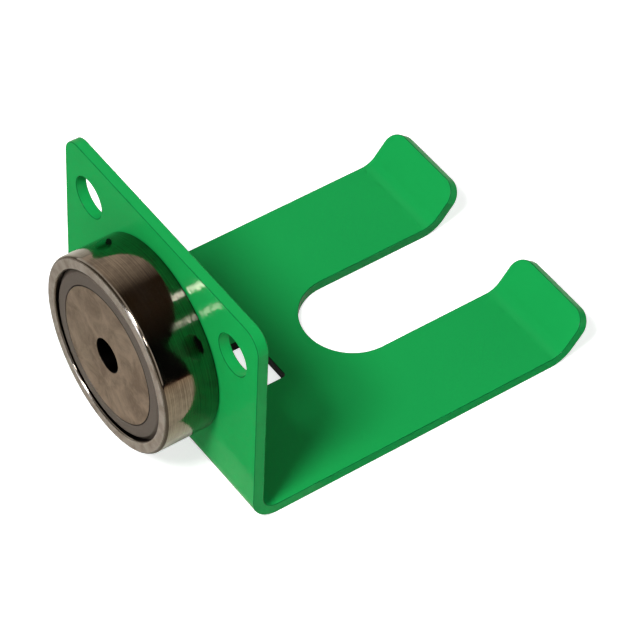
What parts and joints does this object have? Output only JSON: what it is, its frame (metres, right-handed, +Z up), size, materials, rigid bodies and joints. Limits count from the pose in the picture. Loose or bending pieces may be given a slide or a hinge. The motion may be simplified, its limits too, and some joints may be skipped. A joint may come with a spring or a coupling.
{
  "type": "magnetic hose hanger",
  "caption": "Folded steel fork bracket with a pot magnet on its upright plate; a hose drops into the open slot between two turned-up prongs.",
  "frame": {"origin": "centre of the magnet's contact face, which is the rim of its cup", "axes": "+Y from the magnet's face along the fork, +Z up the plate, X across the width"},
  "size_m": [0.0762, 0.1111, 0.0606],
  "materials": {
    "green_powder_coat": "glossy green powder coat on steel sheet",
    "nickel_plate": "turned steel with bright nickel plate",
    "nickel_magnet": "satin nickel plate on a sintered magnet",
    "grey_resin": "cast grey resin",
    "zinc_plate": "zinc-plated steel"
  },
  "bodies": {
    "root": {"bracket": "green_powder_coat", "magnet_cup": "nickel_plate", "magnet_disc": "nickel_magnet", "potting_ring": "grey_resin", "fixing_screw": "zinc_plate", "plain_washer": "zinc_plate", "lock_washer": "zinc_plate"}
  },
  "joints": []
}
